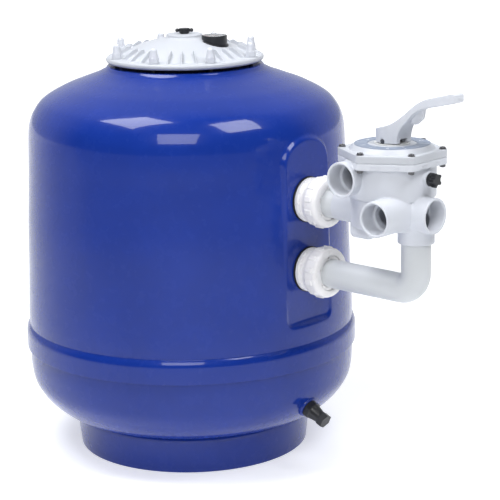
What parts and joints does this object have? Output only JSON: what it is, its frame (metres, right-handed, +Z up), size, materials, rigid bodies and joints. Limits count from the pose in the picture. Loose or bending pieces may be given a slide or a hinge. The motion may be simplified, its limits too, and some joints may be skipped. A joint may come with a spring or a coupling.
{
  "type": "sand filter tank",
  "caption": "Bolted-lid pool sand filter tank with a side-mounted six-way selector valve, screwed pipe unions, pressure gauge, air bleed and drain.",
  "frame": {"origin": "on the tank axis at the underside of the foot ring", "axes": "+Z up along the tank axis, +X from the tank axis through both side ports to the selector valve"},
  "size_m": [0.927, 0.616, 0.7751],
  "materials": {
    "tank_blue": "gloss gelcoat",
    "white_abs": "smooth moulded",
    "union_white": "smooth moulded",
    "pvc_grey": "satin pipe",
    "black_plastic": "fine moulded grain",
    "black_rubber": "matte",
    "steel": "satin",
    "dial_blue": "satin label",
    "dial_white": "satin",
    "needle_red": "satin",
    "clear": "clear",
    "inner_white": "matte"
  },
  "bodies": {
    "tank": {"foot_ring": "tank_blue", "lower_shell": "tank_blue", "upper_shell": "tank_blue", "lid_gasket": "black_rubber", "lid_studs": "steel", "upper_bulkhead": "union_white", "upper_bulkhead_gasket": "black_rubber", "upper_bulkhead_nut": "inner_white", "upper_union_tail": "union_white", "upper_union_oring": "black_rubber", "upper_pipe": "pvc_grey", "lower_bulkhead": "union_white", "lower_bulkhead_gasket": "black_rubber", "lower_bulkhead_nut": "inner_white", "lower_union_tail": "union_white", "lower_union_oring": "black_rubber", "lower_pipe": "pvc_grey", "valve_body": "white_abs", "valve_cover": "white_abs", "cover_oring": "black_rubber", "dial_plate": "dial_blue", "valve_bolts": "steel", "valve_washers": "steel", "valve_nuts": "steel", "spider_gasket": "black_rubber", "stem_oring": "black_rubber", "plug_oring": "black_rubber", "drain_body": "black_plastic", "drain_gasket": "black_rubber", "drain_nut": "black_plastic", "inlet_riser": "inner_white", "return_pipe": "inner_white", "diffuser": "inner_white", "collector_hub": "inner_white", "laterals": "inner_white"},
    "lid_assembly": {"lid": "white_abs", "lid_washers": "black_plastic", "lid_cap_nuts": "white_abs", "bleed_oring": "black_rubber", "gauge_seat": "black_plastic", "gauge_case": "black_plastic", "gauge_dial": "dial_white", "gauge_lens": "clear"},
    "gauge_hand": {"gauge_needle": "needle_red"},
    "bleed": {"bleed_screw": "black_plastic"},
    "upper_nut": {"upper_union_nut": "union_white"},
    "lower_nut": {"lower_union_nut": "union_white"},
    "selector": {"thrust_washer": "inner_white", "spring_washer": "steel", "stem_spring": "steel"},
    "stem": {"rotor": "inner_white", "lever_pin": "steel"},
    "handle": {"lever": "white_abs"},
    "plug": {"star_plug": "black_plastic"},
    "drain_end": {"drain_cap": "black_plastic"}
  },
  "joints": [
    {"name": "selector_turn", "type": "hinge", "parent": "tank", "child": "selector", "pos_m": [0.48, 0, 0.617], "axis": [0, 0, 1], "continuous": true},
    {"name": "lever_press", "type": "hinge", "parent": "stem", "child": "handle", "pos_m": [0.48, 0, 0.623], "axis": [0, 1, 0], "range_deg": [0, 12]},
    {"name": "stem_lift", "type": "slide", "parent": "selector", "child": "stem", "axis": [0, 0, 1], "range_m": [0, 0.006], "stiffness_N_per_m": 200, "springref_m": -0.01, "deforming": ["stem_spring"]},
    {"name": "lid_lift", "type": "slide", "parent": "tank", "child": "lid_assembly", "axis": [0, 0, 1], "range_m": [0, 0.12]},
    {"name": "gauge_needle_turn", "type": "hinge", "parent": "lid_assembly", "child": "gauge_hand", "pos_m": [0.06, 0.016, 0.762], "axis": [0, 0, -1], "range_deg": [0, 270]},
    {"name": "bleed_screw_turn", "type": "hinge", "parent": "lid_assembly", "child": "bleed", "pos_m": [0, 0, 0.768], "axis": [0, 0, 1], "continuous": true},
    {"name": "upper_union_turn", "type": "hinge", "parent": "tank", "child": "upper_nut", "pos_m": [0.333, 0, 0.497], "axis": [1, 0, 0], "continuous": true},
    {"name": "lower_union_turn", "type": "hinge", "parent": "tank", "child": "lower_nut", "pos_m": [0.333, 0, 0.372], "axis": [1, 0, 0], "continuous": true},
    {"name": "star_plug_turn", "type": "hinge", "parent": "tank", "child": "plug", "pos_m": [0.562, 0, 0.565], "axis": [1, 0, 0], "continuous": true},
    {"name": "drain_cap_turn", "type": "hinge", "parent": "tank", "child": "drain_end", "pos_m": [0.32532, 0, 0.09887], "axis": [0.9063, 0, -0.4226], "continuous": true}
  ],
  "couplings": [
    {"joint": "lever_press", "follows": "stem_lift", "rad_per_m": 34.9}
  ]
}
